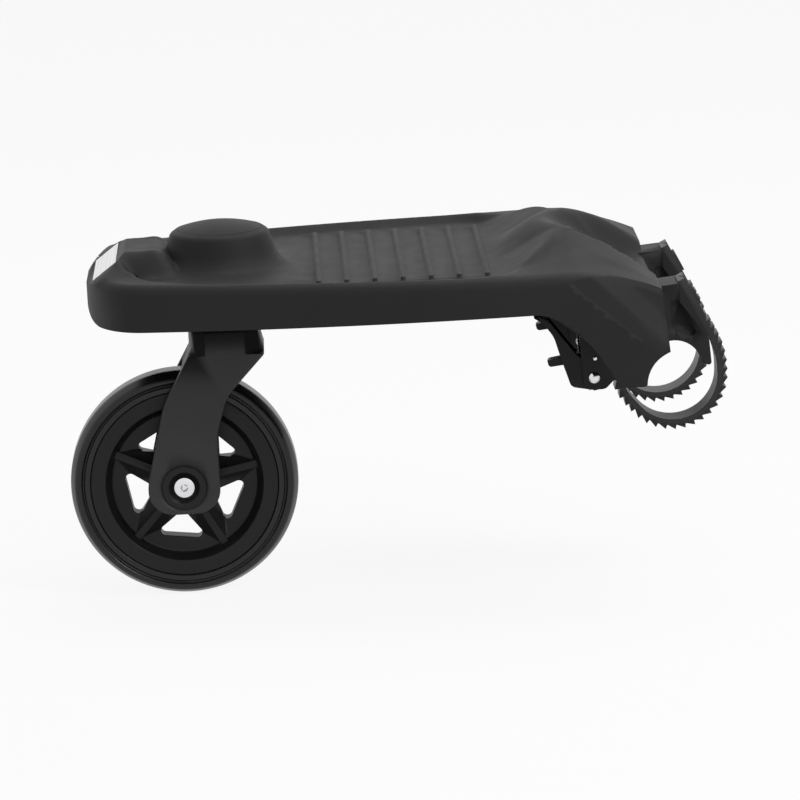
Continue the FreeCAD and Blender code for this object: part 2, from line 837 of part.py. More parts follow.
def make_pawl(side):
    """Sprung pawl: its nose lies between the last two teeth of the strap and its tab sticks out behind."""
    y = side * strap_y
    low = y - pawl_half_width
    high = y + pawl_half_width
    root = tooth_start(tooth_count() - 1 - slack_teeth)
    ramp = tooth_height / (tooth_pitch - tooth_face)
    nose = [(root - 5.5, 4.6, 3), (root - 4.2, 4.2 * ramp + pawl_clearance, 0),
            (root - pawl_backlash - 0.4, (pawl_backlash + 0.4) * ramp + pawl_clearance, 0.2),
            (root - pawl_backlash, (pawl_backlash + 0.4) * ramp + pawl_clearance, 0.1),
            (root - pawl_backlash + 0.3, 4.2, 1)]
    arm = about(pawl_pin_x, pawl_pin_z, [(-3.0, -2.0, 0), (4.0, -1.0, 2)])
    for station, height, rounding in nose:
        point = strap_point(station, band + height)
        arm.append((point.x, point.z, rounding))
    arm += about(pawl_pin_x, pawl_pin_z, [(1.5, 11.5, 6), (-3.5, 2.5, 0)])
    tab = about(pawl_pin_x, pawl_pin_z, [
        (-1.5, -3.9, 0), (-31.5, -7.2, 2.3), (-31.9, -2.2, 2.3), (-17.5, 0.2, 4), (-1.5, 3.5, 0)])
    hub = rod_y(pawl_pin_x, pawl_pin_z, pawl_hub_radius, low, high)
    body = hub.fuse([prism_y(arm, low, high), prism_y(tab, low, high)])
    body = body.cut(rod_y(pawl_pin_x, pawl_pin_z, pawl_pin_radius + running_gap, low, high))
    return body.removeSplitter()


def make_pin(side, x, z, radius, head_radius):
    """Riveted pin across the buckle, with a low head outside each cheek."""
    y = side * strap_y
    reach = base_cheek_inner + base_plate
    heads = [rod_y(x, z, head_radius, y - reach - rivet_head_height, y - reach),
             rod_y(x, z, head_radius, y + reach, y + reach + rivet_head_height)]
    return rod_y(x, z, radius, y - reach - 0.1, y + reach + 0.1).fuse(heads).removeSplitter()


def make_pawl_spring(side):
    start = side * strap_y + pawl_half_width + 0.4
    coil = rod_y(pawl_pin_x, pawl_pin_z, pawl_pin_radius + 1.5, start, start + 4.0)
    return coil.cut(rod_y(pawl_pin_x, pawl_pin_z, pawl_pin_radius + 0.02, start, start + 4.0))


def make_buckle_screw(side, x):
    y = side * strap_y
    bottom = base_flange_z - buckle_screw_head_height
    head = rod_z(x, y, buckle_screw_head, bottom, base_flange_z)
    shank = rod_z(x, y, buckle_screw_radius, bottom, pad_z + buckle_screw_bite)
    return head.fuse(shank).removeSplitter()


# Swivel

def make_cap():
    sphere_radius = (cap_radius ** 2 + cap_crown ** 2) / (2 * cap_crown)
    centre = V(swivel_x, 0, seam_z + cap_crown - sphere_radius)
    seat = seam_z - cap_seat_depth
    body = rod_z(swivel_x, 0, cap_radius, seat, 130).common(Part.makeSphere(sphere_radius, centre))
    hollow = rod_z(swivel_x, 0, cap_radius - 2.6, seat - 1, 130)
    hollow = hollow.common(Part.makeSphere(sphere_radius - cap_wall, centre))
    return body.cut(hollow)


def make_bush(flange_low, flange_high, body_low, body_high):
    body = rod_z(swivel_x, 0, bush_radius, body_low, body_high)
    body = body.fuse(rod_z(swivel_x, 0, bush_flange_radius, flange_low, flange_high))
    body = body.cut(rod_z(swivel_x, 0, kingpin_radius + running_gap, flange_low - 50, flange_high + 50))
    return body.removeSplitter()


washer_bottom_z = pocket_floor_z + bush_flange + running_gap
nut_bottom_z = washer_bottom_z + washer_thickness
kingpin_top_z = nut_bottom_z + nut_height + 2.0


def make_kingpin():
    head_bottom_z = kingpin_head_top_z - kingpin_head_height
    head = rod_z(swivel_x, 0, kingpin_head_radius, head_bottom_z, kingpin_head_top_z)
    shank = rod_z(swivel_x, 0, kingpin_radius, head_bottom_z, kingpin_top_z)
    return head.fuse(shank).removeSplitter()


def make_washer():
    ring = rod_z(swivel_x, 0, washer_radius, washer_bottom_z, nut_bottom_z)
    return ring.cut(rod_z(swivel_x, 0, kingpin_radius, washer_bottom_z - 1, nut_bottom_z + 1))


def make_kingpin_nut():
    nut = hex_prism(nut_flats, V(swivel_x, 0, nut_bottom_z), V(0, 0, 1), nut_height)
    return nut.cut(rod_z(swivel_x, 0, kingpin_radius, nut_bottom_z - 1, nut_bottom_z + nut_height + 1))


# Fork

def make_fork():
    x = wheel_x
    leg_shape = [
        (swivel_x - 23, 30, 0), (swivel_x - 22.5, 20, 4), (x - 11.5, -20, 70), (x - 25.3, axle_z + 3, 45),
        (x - 25.3, axle_z - 19.5, 17), (x + 25, axle_z - 19.5, 17), (x + 25, -42, 45), (x + 33, -16, 30),
        (swivel_x + 27.5, 13.5, 4), (swivel_x + 23, 30, 0)]
    body = prism_y(leg_shape, -leg_outer_y, leg_outer_y)
    outside = [edge for edge in body.Edges
               if abs(abs(edge.CenterOfMass.y) - leg_outer_y) < 0.01 and edge.BoundBox.ZMin < 25]
    body = body.makeFillet(2.5, outside)
    room = wheel_radius + wheel_room
    body = body.cut(rod_y(x, axle_z, room, -leg_inner_y, leg_inner_y))
    body = body.cut(box(x - 60, x + 60, -leg_inner_y, leg_inner_y, axle_z - 60, axle_z))
    crown = rod_z(swivel_x, 0, crown_radius, 12, crown_top_z)
    tall = rod_z(swivel_x, 0, 31.0, 14, 40)
    upper = body.common(tall)
    lower = body.cut(box(x - 80, x + 120, -60, 60, 14, 60))
    body = lower.fuse([upper, crown])
    body = body.cut(rod_z(swivel_x, 0, kingpin_radius, -20, 60))
    body = body.cut(rod_z(swivel_x, 0, kingpin_head_radius, -20, kingpin_head_top_z))
    body = body.cut(rod_y(x, axle_z, axle_radius + 2.0, -40, 40))
    for sign in (-1, 1):
        recess = leg_outer_y - cup_recess
        body = body.cut(rod_y(x, axle_z, cup_radius, *sorted((sign * recess, sign * 40))))
    return body.removeSplitter()


def make_cup(sign):
    inner = rim_half_width
    shelf = leg_outer_y - cup_recess
    face = leg_outer_y + cup_proud
    body = rod_y(wheel_x, axle_z, axle_radius + 2.0, *sorted((sign * inner, sign * face)))
    body = body.fuse(rod_y(wheel_x, axle_z, cup_radius, *sorted((sign * shelf, sign * face))))
    body = body.cut(rod_y(wheel_x, axle_z, axle_radius, -60, 60))
    pocket = bolt_head_radius + 1.6
    floor = shelf + bolt_seat
    mouth_start = V(wheel_x, sign * floor, axle_z)
    body = body.cut(Part.makeCone(pocket, cup_mouth_radius, face - floor, mouth_start, V(0, sign, 0)))
    return body.removeSplitter()


def make_axle_bolt():
    seat = leg_outer_y - cup_recess + bolt_seat
    ball = (bolt_head_radius ** 2 + bolt_head_crown ** 2) / (2 * bolt_head_crown)
    head = rod_y(wheel_x, axle_z, bolt_head_radius, -seat - bolt_head_height, -seat)
    head = head.common(Part.makeSphere(ball, V(wheel_x, ball - seat - bolt_head_height, axle_z)))
    socket = hex_prism(5.0, V(wheel_x, -seat - bolt_head_height, axle_z), V(0, 1, 0), 2.4)
    shank = rod_y(wheel_x, axle_z, axle_radius, -seat - 0.5, seat + 6.5)
    return head.fuse(shank).removeSplitter().cut(socket)


def make_axle_nut():
    seat = leg_outer_y - cup_recess + bolt_seat
    nut = hex_prism(axle_nut_flats, V(wheel_x, seat, axle_z), V(0, 1, 0), 6.0)
    return nut.cut(rod_y(wheel_x, axle_z, axle_radius, seat - 1, seat + 8))


# Wheel

def make_tyre():
    w = tyre_half_width
    half = [(rim_radius, rim_half_width - 0.6, 0), (rim_radius + 0.7, rim_half_width + 0.8, 0.4),
            (rim_radius + 3.9, rim_half_width + 0.8, 0.8), (rim_radius + 5.3, rim_half_width - 0.7, 0.6),
            (wheel_radius - 7.0, w, 1.5), (wheel_radius - 3.5, w - 1.4, 4), (wheel_radius, w - 9.0, 7)]
    corners = half + [(r, -y, f) for r, y, f in reversed(half)]
    return turned_y(corners)


def make_rim():
    w = rim_half_width
    half = [(hub_radius, w, 0.8), (hub_radius + 1.2, web_half, 1.5), (barrel_radius - 2.0, web_half, 2.0),
            (barrel_radius + 2.5, w, 1.0), (rim_radius, w, 0.5)]
    corners = [(0, w, 0)] + half + [(r, -y, f) for r, y, f in reversed(half)] + [(0, -w, 0)]
    body = turned_y(corners)
    for k in range(spoke_count):
        middle = spoke_angle + 360.0 / spoke_count * (k + 0.5)
        window = []
        for radius, angle in ((window_apex, 0), (window_corner_radius, window_half_angle),
                              (window_corner_radius, -window_half_angle)):
            turn = math.radians(middle + angle)
            window.append((radius * math.cos(turn), radius * math.sin(turn), window_rounding))
        body = body.cut(prism_y(about(wheel_x, axle_z, window), -30, 30))
        spoke = prism_y([
            (hub_radius - 1, -spoke_rib_width / 2, 0), (barrel_radius - 0.5, -spoke_rib_width / 2, 0),
            (barrel_radius - 0.5, spoke_rib_width / 2, 0), (hub_radius - 1, spoke_rib_width / 2, 0)],
            -web_half - spoke_rib_height, web_half + spoke_rib_height)
        spoke.rotate(V(0, 0, 0), V(0, 1, 0), -(spoke_angle + 360.0 / spoke_count * k))
        spoke.translate(V(wheel_x, 0, axle_z))
        body = body.fuse(spoke)
    body = body.cut(rod_y(wheel_x, axle_z, bearing_outer_radius - 2.0, -40, 40))
    for sign in (-1, 1):
        ends = sorted((sign * (w - bearing_width), sign * 40))
        body = body.cut(rod_y(wheel_x, axle_z, bearing_outer_radius, *ends))
    return body.removeSplitter()


def make_bearing(sign):
    ends = sorted((sign * (rim_half_width - bearing_width), sign * rim_half_width))
    ring = rod_y(wheel_x, axle_z, bearing_outer_radius, *ends)
    return ring.cut(rod_y(wheel_x, axle_z, bearing_inner_radius + bearing_gap, -60, 60))


def make_inner_ring(sign):
    ends = sorted((sign * (rim_half_width - bearing_width), sign * rim_half_width))
    ring = rod_y(wheel_x, axle_z, bearing_inner_radius, *ends)
    return ring.cut(rod_y(wheel_x, axle_z, axle_radius, -60, 60))


def make_hub_spacer():
    reach = rim_half_width - bearing_width
    tube = rod_y(wheel_x, axle_z, axle_radius + 2.0, -reach, reach)
    return tube.cut(rod_y(wheel_x, axle_z, axle_radius, -60, 60))


# Write every piece

os.makedirs("parts", exist_ok=True)
sides = (("right", -1), ("left", 1))

save("deck", make_deck())
save("dome_cap", make_cap())
save("rear_reflector", reflector_solid(reflector_proud))
save("upper_swivel_bush", make_bush(pocket_floor_z, pocket_floor_z + bush_flange,
                                    pocket_floor_z - bush_length, pocket_floor_z))
save("lower_swivel_bush", make_bush(boss_bottom_z - bush_flange, boss_bottom_z,
                                    boss_bottom_z, boss_bottom_z + bush_length))
for label, sign in sides:
    save("strap_" + label, make_strap(sign))
    save("buckle_base_" + label, make_buckle_base(sign))
    save("ratchet_lever_" + label, make_lever(sign))
    save("release_pawl_" + label, make_pawl(sign))
    save("axle_cup_" + label, make_cup(sign))
    save("bearing_" + label, make_bearing(sign))
save("strap_screws", *[strap_screw_solid(sign, 0) for label, sign in sides])
save("buckle_screws", *[make_buckle_screw(sign, x) for label, sign in sides for x in buckle_screws_x])
save("lever_pins", *[make_pin(sign, lever_pin_x, lever_pin_z, lever_pin_radius, rivet_head_radius)
                     for label, sign in sides])
save("pawl_pins", *[make_pin(sign, pawl_pin_x, pawl_pin_z, pawl_pin_radius, pawl_pin_radius + pawl_pin_head)
                    for label, sign in sides])
save("pawl_springs", *[make_pawl_spring(sign) for label, sign in sides])
save("kingpin", make_kingpin())
save("kingpin_washer", make_washer())
save("kingpin_nut", make_kingpin_nut())
save("fork", make_fork())
save("axle_bolt", make_axle_bolt())
save("axle_nut", make_axle_nut())
save("hub_spacer", make_hub_spacer())
save("bearing_inner_rings", *[make_inner_ring(sign) for label, sign in sides])
save("wheel_rim", make_rim())
save("tyre", make_tyre())
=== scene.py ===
import bmesh
import bpy
import json
import math
from mathutils import Matrix, Vector

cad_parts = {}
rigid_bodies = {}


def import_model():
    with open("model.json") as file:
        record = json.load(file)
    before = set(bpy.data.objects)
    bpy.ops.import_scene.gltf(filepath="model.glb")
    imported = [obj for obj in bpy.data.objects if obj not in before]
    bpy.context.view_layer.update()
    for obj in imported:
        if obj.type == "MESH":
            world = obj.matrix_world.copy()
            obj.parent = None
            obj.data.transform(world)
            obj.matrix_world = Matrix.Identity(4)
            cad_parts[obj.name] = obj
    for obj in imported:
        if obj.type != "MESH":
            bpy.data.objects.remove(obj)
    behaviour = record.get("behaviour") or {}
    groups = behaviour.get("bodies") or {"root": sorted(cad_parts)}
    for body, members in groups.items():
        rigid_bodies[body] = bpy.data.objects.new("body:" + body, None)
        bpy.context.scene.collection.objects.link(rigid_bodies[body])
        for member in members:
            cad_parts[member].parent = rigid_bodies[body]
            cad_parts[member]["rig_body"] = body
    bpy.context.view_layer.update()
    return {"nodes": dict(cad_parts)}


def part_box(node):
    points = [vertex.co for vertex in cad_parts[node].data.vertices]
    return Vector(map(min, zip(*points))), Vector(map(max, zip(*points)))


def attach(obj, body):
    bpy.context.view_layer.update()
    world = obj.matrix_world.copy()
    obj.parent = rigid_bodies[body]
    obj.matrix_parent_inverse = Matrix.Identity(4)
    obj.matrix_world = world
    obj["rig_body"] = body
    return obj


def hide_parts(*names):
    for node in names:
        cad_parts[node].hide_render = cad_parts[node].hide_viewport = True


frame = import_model()


# Deck
# One injection moulding in black plastic: the standing dish, side walls, saddle and strap fingers.
# Its outside has the fine grain of a spark-eroded mould and faint marks of the plastic's flow.
# The round snap cap on its dome is moulded in the same plastic.

class Wire:
    """One output in a node tree. Arithmetic on it adds Math nodes."""

    def __init__(self, finish, socket):
        self.finish = finish
        self.socket = socket

    def maths(self, operation, first, second):
        return self.finish.node("ShaderNodeMath", {"operation": operation}, {0: first, 1: second})

    def __add__(self, other):
        return self.maths("ADD", self, other)

    def __sub__(self, other):
        return self.maths("SUBTRACT", self, other)

    def __mul__(self, other):
        return self.maths("MULTIPLY", self, other)

    def __rsub__(self, other):
        return self.maths("SUBTRACT", other, self)

    __radd__ = __add__
    __rmul__ = __mul__


class Finish:
    """A surface finish: one material, its node tree and the shader that the wires end in."""

    def __init__(self, name, **constants):
        self.material = bpy.data.materials.new(name)
        self.material.use_nodes = True
        self.tree = self.material.node_tree
        self.shader = self.tree.nodes["Principled BSDF"]
        for socket, value in constants.items():
            self.shader.inputs[socket.replace("_", " ")].default_value = value

    def node(self, kind, settings=None, inputs=None, output=0):
        made = self.tree.nodes.new(kind)
        for name, value in (settings or {}).items():
            if name == "stops":
                ramp = made.color_ramp.elements
                while len(ramp) < len(value):
                    ramp.new(0.5)
                for element, (place, shade) in zip(ramp, value):
                    element.position = place
                    element.color = (shade, shade, shade, 1)
            else:
                setattr(made, name, value)
        for socket, value in (inputs or {}).items():
            if isinstance(value, Wire):
                self.tree.links.new(value.socket, made.inputs[socket])
            else:
                made.inputs[socket].default_value = value
        return Wire(self, made.outputs[output])

    def places(self):
        return self.node("ShaderNodeTexCoord", output="Object")

    def noise(self, per_metre, detail, roughness=0.5):
        return self.node("ShaderNodeTexNoise", inputs={
            "Vector": self.places(), "Scale": per_metre, "Detail": detail,
            "Roughness": roughness})

    def ramp(self, value, stops):
        return self.node("ShaderNodeValToRGB", {"stops": stops}, {"Fac": value})

    def blend(self, factor, first, second):
        return self.node("ShaderNodeMix", {"data_type": "RGBA"}, {
            "Factor": factor, 6: first, 7: second}, output=2)

    def feed(self, socket, wire):
        self.tree.links.new(wire.socket, self.shader.inputs[socket])

    def bump(self, height, depth, edge=0.0):
        """Height in the surface, depth metres deep, on edges softened by a small radius."""
        inputs = {"Height": height, "Distance": depth, "Strength": 1.0}
        if edge:
            inputs["Normal"] = self.node("ShaderNodeBevel", {"samples": 4}, {"Radius": edge})
        self.feed("Normal", self.node("ShaderNodeBump", inputs=inputs))


def grey(level):
    """A neutral colour, a trace cooler than grey, as black plastic and plated steel are."""
    coolness = 1.02
    return (level, level, level * coolness, 1)


def moulded_plastic(name, level, roughness, specular, grain_per_metre, grain_depth, edge):
    """Moulded plastic: even colour with faint flow marks, a fine grain and softened edges."""
    darkest, lightest = level * 0.86, level * 1.14
    roughness_spread = 0.16
    finish = Finish(name, Specular_IOR_Level=specular)
    flow = finish.noise(per_metre=14.0, detail=3.0)
    finish.feed("Base Color", finish.blend(flow, grey(darkest), grey(lightest)))
    cloud = finish.noise(per_metre=60.0, detail=4.0)
    finish.feed("Roughness", cloud * roughness_spread + (roughness - roughness_spread / 2))
    grain = finish.noise(grain_per_metre, detail=2.0, roughness=0.55)
    finish.bump(grain, grain_depth, edge)
    return finish.material


def finished_piece(shape, name, material):
    """The object that a shape becomes: smoothly shaded, with its material, in the scene."""
    for face in shape.faces:
        face.smooth = True
    mesh = bpy.data.meshes.new(name)
    shape.to_mesh(mesh)
    shape.free()
    mesh.materials.append(material)
    piece = bpy.data.objects.new(name, mesh)
    bpy.context.scene.collection.objects.link(piece)
    return piece


def skin(node, material, reshape=None):
    """The visible piece that stands for a node: the same form, joined up and smoothly shaded."""
    weld_distance = 0.000004
    sharp_angle = math.radians(32.0)
    body = frame["nodes"][node]["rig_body"]
    shape = bmesh.new()
    shape.from_mesh(frame["nodes"][node].data)
    bmesh.ops.remove_doubles(shape, verts=shape.verts, dist=weld_distance)
    if reshape:
        reshape(shape)
    piece = finished_piece(shape, node + "_skin", material)
    piece.data.set_sharp_from_angle(angle=sharp_angle)
    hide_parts(node)
    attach(piece, body)


def ease(share):
    """A soft step from 0 to 1."""
    share = min(1.0, max(0.0, share))
    return share * share * (3 - 2 * share)


# The lines and heights of the top are in millimetres. The plain form is the solid's. In the full
# form the crest bows back between the ridges, and the scoop in front of it is deeper.
millimetres = 1000
plain_form = {"bow": 0.0, "scoop": 12.0, "ramp": 22.0, "flank": 18.0, "rise_power": 1.0}
full_form = {"bow": 15.0, "scoop": 16.0, "ramp": 30.0, "flank": 22.0, "rise_power": 1.3}
crest_x = -69.0
crest_height = 95.0
ridge_half = 37.0
rim_height = 78.0
dish_x = -150.0
dish_reach = 83.68
dish_power = 2.2


def side_line(x):
    """Half-width of the deck's outline."""
    widest_half, widest_x, curve = 135.0, -60.0, 0.00045
    return widest_half - curve * (x - widest_x) ** 2


def rim_line(x):
    """Half-width of the dish's rim, inside the outline."""
    rim_inset = 7.0
    return side_line(x) - rim_inset


def crest_line(x, form):
    """Half-width and height of the crest round the front of the dish and along the ridges."""
    if x >= crest_x:
        finger_half, finger_height = 65.0, 54.0
        spread_power, bulge = 2.6, 0.57
        share = max(0.0, -x) / -crest_x
        half = finger_half - (finger_half - ridge_half) * share ** spread_power
        rise = share * (1 + bulge - bulge * share)
        return half, finger_height + (crest_height - finger_height) * rise
    rim = rim_line(x)
    half = rim * (1 - max(0.0, (x - dish_x) / dish_reach) ** dish_power) ** (1 / dish_power)
    rise = ((rim - half) / (rim - ridge_half)) ** form["rise_power"]
    return half, rim_height + (crest_height - rim_height) * rise


def moulded_top(x, y, form):
    """Height of the top's front over a point of its plan."""
    y = abs(y)
    side = side_line(x)
    half, crest = crest_line(x, form)
    if y > half:
        shoulder_drop, shoulder_length, shoulder_power = 19.0, 75.0, 1.7
        fallen = max(0.0, 1 + x / shoulder_length) ** shoulder_power
        shoulder = rim_height - shoulder_drop * fallen
        return crest + (shoulder - crest) * min(1.0, (y - half) / max(1.0, side - half))
    bow = form["bow"] * max(0.0, 1 - (y / ridge_half) ** 2)
    past_crest = x - crest_x + bow
    runout_length, runout_loss = 25.0, 0.5
    runout = 1 - runout_loss * ease(1 + x / runout_length)
    scoop = form["scoop"] * ease(past_crest / form["ramp"]) * runout
    if x >= crest_x:
        return crest - scoop * ease((half - y) / form["flank"])
    dish_floor, climb_length, rim_blend = 73.5, 56.0, 9.0
    climb = ease(1 + past_crest / (climb_length - bow))
    floor = dish_floor + (crest_height - dish_floor) * climb
    fill = ((max(0.0, x - dish_x) / dish_reach) ** dish_power
            + (y / rim_line(x)) ** dish_power) ** (1 / dish_power)
    height = crest + (floor - crest) * ease((1 - fill) * side / rim_blend)
    return height - scoop * ease((ridge_half - y) / form["flank"])


def softened_top(x, y):
    """The full form with its creases rounded, as an average over a small disc."""
    reach, points, middle_weight = 2.6, 8, 2
    total = middle_weight * moulded_top(x, y, full_form)
    for point in range(points):
        angle = math.tau * point / points
        total += moulded_top(x + math.cos(angle) * reach, y + math.sin(angle) * reach, full_form)
    return total / (points + middle_weight)


def refine(shape, wanted, longest):
    """Splits the long edges whose middle the test wants."""
    most_rounds = 6
    for split_round in range(most_rounds):
        long_edges = [edge for edge in shape.edges if edge.calc_length() > longest
                      and wanted(*((edge.verts[0].co + edge.verts[1].co) / 2 * millimetres))]
        if not long_edges:
            break
        bmesh.ops.subdivide_edges(shape, edges=long_edges, cuts=1)
        bmesh.ops.triangulate(shape, faces=[face for face in shape.faces if len(face.verts) > 3])


top_lowest = 42.0
cheek_back = -78.0


def in_top(x, y, z):
    back, front, band = -126.0, -8.0, 6.5
    return (z > top_lowest and back < x < front
            and abs(z - moulded_top(x, y, plain_form)) < band)


def in_cheek(x, y, z):
    inner_half, lowest = 88.0, 10.0
    return abs(y) > inner_half and x > cheek_back and z > lowest


def shape_top(vert):
    """Moves a vertex of the top, or of the roof below it, to the full form."""
    back, back_fade, front, front_fade = -124.0, 8.0, -9.5, 12.0
    roof_nearest, roof_farthest = 1.0, 8.0
    surface_band, facing_up = 1.8, 0.1
    edge_margin, edge_fade = 8.0, 4.0
    wall_depth = 6.0
    x, y, z = vert.co * millimetres
    share = ease((x - back) / back_fade) * ease((front - x) / front_fade)
    if share == 0 or z < top_lowest or abs(y) > side_line(x):
        return
    plain = moulded_top(x, y, plain_form)
    full = softened_top(x, y)
    if vert.normal.z < 0 and z < plain - roof_nearest:
        if z > plain - roof_farthest:
            vert.co.z += min(0.0, full - plain) * share / millimetres
        return
    settled = 0.0
    if abs(z - plain) < surface_band and vert.normal.z > facing_up:
        settled = ease((side_line(x) - abs(y) - edge_margin) / edge_fade)
    if z > plain - wall_depth:
        move = settled * (full - z) + (1 - settled) * (full - plain)
        vert.co.z += move * share / millimetres


def shape_cheek(vert):
    """Sinks the panel above the crease on a cheek, with a soft slope down to it."""
    crease_x, crease_z, diagonal = -34.3, 54.2, 0.7071
    panel_depth, slope_start, slope_width = 7.0, 2.0, 14.0
    side_start, side_fade, back_fade = 90.0, 25.0, 24.0
    x, y, z = vert.co * millimetres
    past_crease = ((x - crease_x) + (z - crease_z)) * diagonal
    lean = panel_depth * ease((past_crease + slope_start) / slope_width)
    share = ease((abs(y) - side_start) / side_fade) * ease((x - cheek_back) / back_fade)
    vert.co.y -= math.copysign(lean * share / millimetres, y)


def shape_deck(shape):
    """Gives the deck its full form, with edges in metres fine enough to show it."""
    refine(shape, in_top, longest=0.003)
    refine(shape, in_cheek, longest=0.006)
    shape.normal_update()
    for vert in shape.verts:
        shape_top(vert)
    for vert in shape.verts:
        if in_cheek(*(vert.co * millimetres)):
            shape_cheek(vert)


deck_finish = moulded_plastic("deck_plastic", level=0.022, roughness=0.56, specular=0.14,
                              grain_per_metre=1500.0, grain_depth=0.00006, edge=0.0008)
skin("deck", deck_finish, reshape=shape_deck)
skin("dome_cap", deck_finish)


# Rear reflector
# A strip of silver reflective film on a thin plastic carrier, let into the rear bevel.
# Fine prism cells behind a clear face give it a bright, slightly grainy white.

def reflective_film():
    wall_width, wall_level, cell_level = 0.12, 0.62, 0.86
    wall_roughness, cell_gloss = 0.42, 0.14
    cell_depth = 0.00005
    finish = Finish("reflector_film", Metallic=0.25, Coat_Weight=0.6, Coat_Roughness=0.08)
    cells = finish.node("ShaderNodeTexVoronoi", {"feature": "DISTANCE_TO_EDGE"}, {
        "Vector": finish.places(), "Scale": 420.0, "Randomness": 0.15})
    walls = finish.ramp(cells, [(0.0, 0.0), (wall_width, 1.0)])
    finish.feed("Base Color", finish.blend(walls, grey(wall_level), grey(cell_level)))
    finish.feed("Roughness", wall_roughness - walls * cell_gloss)
    finish.bump(walls, cell_depth)
    return finish.material


skin("rear_reflector", reflective_film())


# Swivel
# The kingpin turns in two pale flanged bushes pressed into the deck's boss, and a washer and nut
# hold it under the snap cap. The steel is zinc plated.

def plated_steel(name, level, roughness):
    """Plated steel with faint turning marks."""
    marked_level = level * 0.92
    roughness_spread = 0.14
    mark_depth = 0.00001
    finish = Finish(name, Metallic=1.0)
    marks = finish.noise(per_metre=900.0, detail=2.0)
    finish.feed("Base Color", finish.blend(marks, grey(marked_level), grey(level)))
    finish.feed("Roughness", marks * roughness_spread + (roughness - roughness_spread / 2))
    finish.bump(marks, mark_depth)
    return finish.material


bush_finish = moulded_plastic("bush_plastic", level=0.72, roughness=0.36, specular=0.5,
                              grain_per_metre=900.0, grain_depth=0.00002, edge=0.0004)
zinc_finish = plated_steel("zinc_steel", level=0.62, roughness=0.34)
for node in ("upper_swivel_bush", "lower_swivel_bush"):
    skin(node, bush_finish)
for node in ("kingpin", "kingpin_washer", "kingpin_nut"):
    skin(node, zinc_finish)


# Fork
# A two-leg moulding in black plastic, a little paler than the deck, that trails behind the kingpin.
# The kingpin is fixed in its crown, and the wheel's axle goes through the tips of its legs.

fork_finish = moulded_plastic("fork_plastic", level=0.042, roughness=0.48, specular=0.26,
                              grain_per_metre=1500.0, grain_depth=0.00005, edge=0.0008)
skin("fork", fork_finish)


# Axle
# A bright bolt with a recessed socket goes through round plastic cups at the fork's tips and the
# bearings, and a nut closes it on the far side.

bright_finish = plated_steel("bright_steel", level=0.78, roughness=0.22)
bearing_finish = plated_steel("bearing_steel", level=0.55, roughness=0.28)
rim_finish = moulded_plastic("rim_plastic", level=0.010, roughness=0.40, specular=0.24,
                             grain_per_metre=1200.0, grain_depth=0.00002, edge=0.0006)
skin("axle_bolt", bright_finish)
for node in ("axle_nut", "hub_spacer"):
    skin(node, zinc_finish)
for side in ("right", "left"):
    skin("axle_cup_" + side, rim_finish)
    skin("bearing_" + side, bearing_finish)
skin("bearing_inner_rings", bearing_finish)


# Wheel
# A five-spoke rim moulded in the same black plastic as the axle cups, with a smooth half-gloss
# rubber tyre moulded round it. The bearings are pressed into its hub.

def tyre_rubber():
    darkest, lightest = 0.006, 0.010
    smoothest, roughness_spread = 0.20, 0.18
    grain_depth, edge = 0.00002, 0.0006
    finish = Finish("tyre_rubber", Specular_IOR_Level=0.36)
    cloud = finish.noise(per_metre=45.0, detail=4.0)
    finish.feed("Base Color", finish.blend(cloud, grey(darkest), grey(lightest)))
    finish.feed("Roughness", cloud * roughness_spread + smoothest)
    finish.bump(finish.noise(per_metre=700.0, detail=2.0), grain_depth, edge)
    return finish.material


skin("wheel_rim", rim_finish)
skin("tyre", tyre_rubber())


# Straps
# Flexible toothed straps in smooth dark grey plastic, each held on its finger by one screw under
# an oval boss, looping under the axle and up into its buckle.

strap_finish = moulded_plastic("strap_plastic", level=0.024, roughness=0.40, specular=0.26,
                               grain_per_metre=900.0, grain_depth=0.00002, edge=0.0004)
dark_steel_finish = plated_steel("dark_steel", level=0.06, roughness=0.4)
for side in ("right", "left"):
    skin("strap_" + side, strap_finish)
skin("strap_screws", dark_steel_finish)


# Ratchet buckles
# Each buckle is a moulded channel screwed under the deck, with a curved lever on a bright rivet and
# a sprung pawl whose tab comes out through the lever. The screws are plated black.

buckle_finish = moulded_plastic("buckle_plastic", level=0.006, roughness=0.36, specular=0.20,
                                grain_per_metre=1200.0, grain_depth=0.00002, edge=0.0005)
black_zinc_finish = plated_steel("black_zinc", level=0.07, roughness=0.42)
spring_finish = plated_steel("spring_steel", level=0.42, roughness=0.3)
for side in ("right", "left"):
    for node in ("buckle_base_", "ratchet_lever_", "release_pawl_"):
        skin(node + side, buckle_finish)
skin("buckle_screws", black_zinc_finish)
skin("lever_pins", bright_finish)
skin("pawl_pins", bright_finish)


